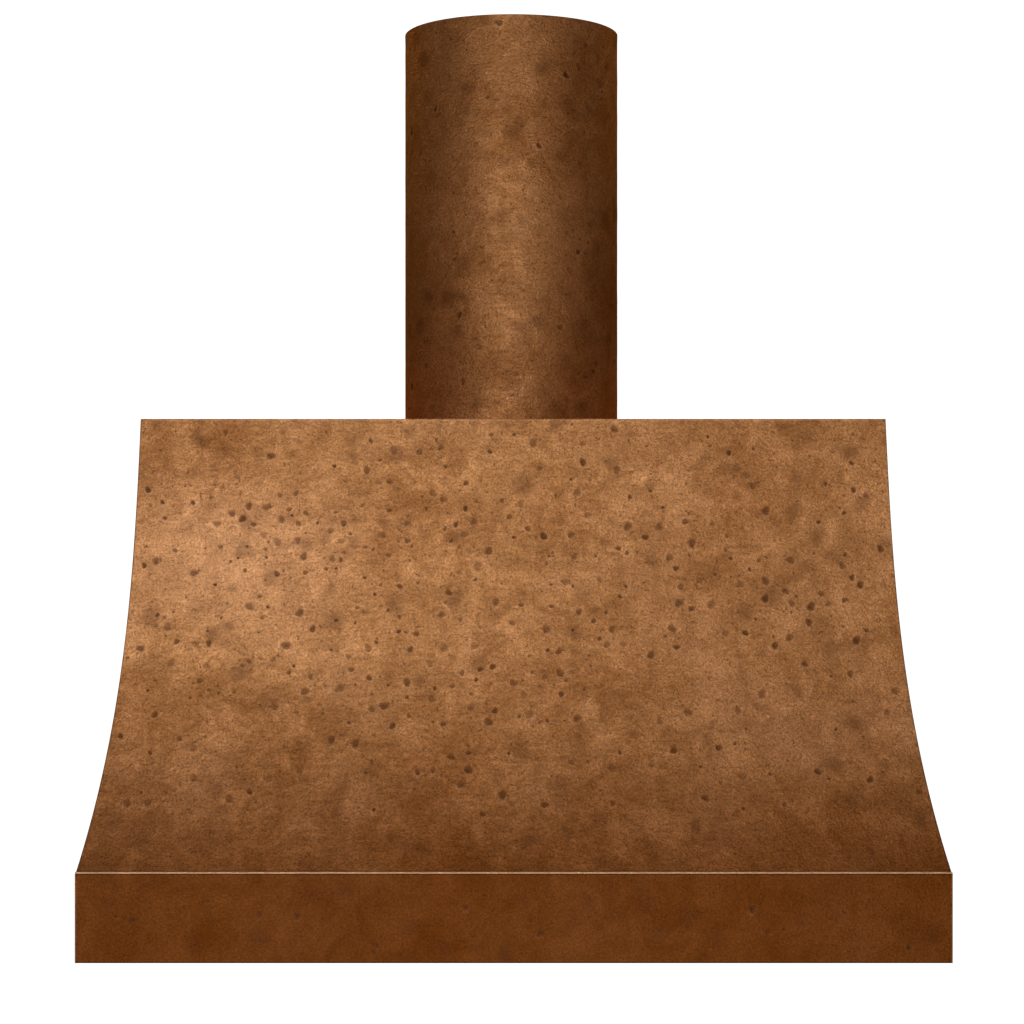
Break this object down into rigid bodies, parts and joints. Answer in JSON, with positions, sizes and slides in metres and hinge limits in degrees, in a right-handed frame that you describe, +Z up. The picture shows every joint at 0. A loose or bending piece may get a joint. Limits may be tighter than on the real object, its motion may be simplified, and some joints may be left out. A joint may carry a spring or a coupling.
{
  "type": "island range hood",
  "caption": "Island range hood: flared, hammered copper canopy with a plain apron band and a round flue, over a stainless liner with hinged baffle filters, blower, damper and duct.",
  "frame": {"origin": "centre of the ceiling plate's top face, which lies against the ceiling, on the flue's axis", "axes": "+Z up towards the ceiling, front towards -Y, left towards -X"},
  "size_m": [1.219, 0.762, 1.365],
  "materials": {
    "hammered_copper": "hammered and hand-pitted copper with a dark brown patina, waxed",
    "plain_copper": "smooth patinated copper",
    "painted_steel": "matt grey powder coat",
    "zinc_steel": "bright zinc plate",
    "stainless": "brushed stainless steel",
    "galvanised_steel": "spangled galvanised sheet",
    "magnet": "nickel-plated magnet",
    "lamp_glass": "frosted glass",
    "cast_aluminium": "fine cast aluminium",
    "white_plastic": "moulded plastic",
    "black_plastic": "fine-grained moulded plastic",
    "motor_enamel": "black enamel",
    "brass": "drawn brass"
  },
  "bodies": {
    "hood": {"flue_tube": "hammered_copper", "flue_seam_strip": "plain_copper", "flue_rivets": "plain_copper", "flue_foot_ring": "plain_copper", "top_panel": "hammered_copper", "front_panel": "hammered_copper", "rear_panel": "hammered_copper", "left_panel": "hammered_copper", "right_panel": "hammered_copper", "apron_front": "hammered_copper", "apron_rear": "hammered_copper", "apron_left": "hammered_copper", "apron_right": "hammered_copper", "ceiling_plate": "painted_steel", "hanger_rods": "zinc_steel", "hanger_nuts": "zinc_steel", "top_ring": "painted_steel", "base_ring": "painted_steel", "cross_channels": "painted_steel", "corner_uprights": "painted_steel", "foot_bolts": "zinc_steel", "shell_screws": "plain_copper", "liner_pan": "stainless", "hopper": "stainless", "blower_box": "stainless", "magnet_rail": "stainless", "filter_magnets": "magnet", "hinge_rail": "stainless", "lamp_trims": "stainless", "lamp_lenses": "lamp_glass", "lamp_cans": "cast_aluminium", "lamp_driver": "white_plastic", "control_plate": "stainless", "fan_switch": "black_plastic", "light_dimmer": "black_plastic", "scroll_housing": "galvanised_steel", "motor_body": "motor_enamel", "motor_bracket": "painted_steel", "motor_capacitor": "cast_aluminium", "outlet_collar": "galvanised_steel", "damper_pin": "brass", "duct_pipe": "galvanised_steel", "duct_clamp": "stainless", "junction_box": "galvanised_steel", "junction_cover": "galvanised_steel"},
    "filter_left": {"filter_frame_left": "stainless", "filter_baffles_left": "stainless"},
    "handle_left": {"filter_handle_left": "stainless"},
    "filter_middle": {"filter_frame_middle": "stainless", "filter_baffles_middle": "stainless"},
    "handle_middle": {"filter_handle_middle": "stainless"},
    "filter_right": {"filter_frame_right": "stainless", "filter_baffles_right": "stainless"},
    "handle_right": {"filter_handle_right": "stainless"},
    "impeller": {"impeller": "galvanised_steel", "motor_shaft": "zinc_steel"},
    "flap_front": {"damper_flap_front": "galvanised_steel"},
    "flap_rear": {"damper_flap_rear": "galvanised_steel"},
    "fan_knob": {"fan_knob": "black_plastic"},
    "light_knob": {"light_knob": "black_plastic"}
  },
  "joints": [
    {"name": "filter_left_hinge", "type": "hinge", "parent": "hood", "child": "filter_left", "pos_m": [-0.35, 0.1925, -1.271], "axis": [1, 0, 0], "range_deg": [0, 80]},
    {"name": "handle_left_swing", "type": "hinge", "parent": "filter_left", "child": "handle_left", "pos_m": [-0.35, -0.185, -1.2835], "axis": [1, 0, 0], "range_deg": [-75, 75]},
    {"name": "filter_middle_hinge", "type": "hinge", "parent": "hood", "child": "filter_middle", "pos_m": [0, 0.1925, -1.271], "axis": [1, 0, 0], "range_deg": [0, 80]},
    {"name": "handle_middle_swing", "type": "hinge", "parent": "filter_middle", "child": "handle_middle", "pos_m": [0, -0.185, -1.2835], "axis": [1, 0, 0], "range_deg": [-75, 75]},
    {"name": "filter_right_hinge", "type": "hinge", "parent": "hood", "child": "filter_right", "pos_m": [0.35, 0.1925, -1.271], "axis": [1, 0, 0], "range_deg": [0, 80]},
    {"name": "handle_right_swing", "type": "hinge", "parent": "filter_right", "child": "handle_right", "pos_m": [0.35, -0.185, -1.2835], "axis": [1, 0, 0], "range_deg": [-75, 75]},
    {"name": "impeller_spin", "type": "hinge", "parent": "hood", "child": "impeller", "pos_m": [0, 0.09279, -0.945], "axis": [1, 0, 0], "continuous": true},
    {"name": "flap_front_hinge", "type": "hinge", "parent": "hood", "child": "flap_front", "pos_m": [0, 0, -0.7535], "axis": [-1, 0, 0], "range_deg": [0, 80]},
    {"name": "flap_rear_hinge", "type": "hinge", "parent": "hood", "child": "flap_rear", "pos_m": [0, 0, -0.7535], "axis": [1, 0, 0], "range_deg": [0, 80]},
    {"name": "fan_knob_turn", "type": "hinge", "parent": "hood", "child": "fan_knob", "pos_m": [-0.045, -0.29025, -1.29], "axis": [0, 0, -1], "range_deg": [0, 270]},
    {"name": "light_knob_turn", "type": "hinge", "parent": "hood", "child": "light_knob", "pos_m": [0.045, -0.29025, -1.29], "axis": [0, 0, -1], "range_deg": [0, 270]}
  ]
}
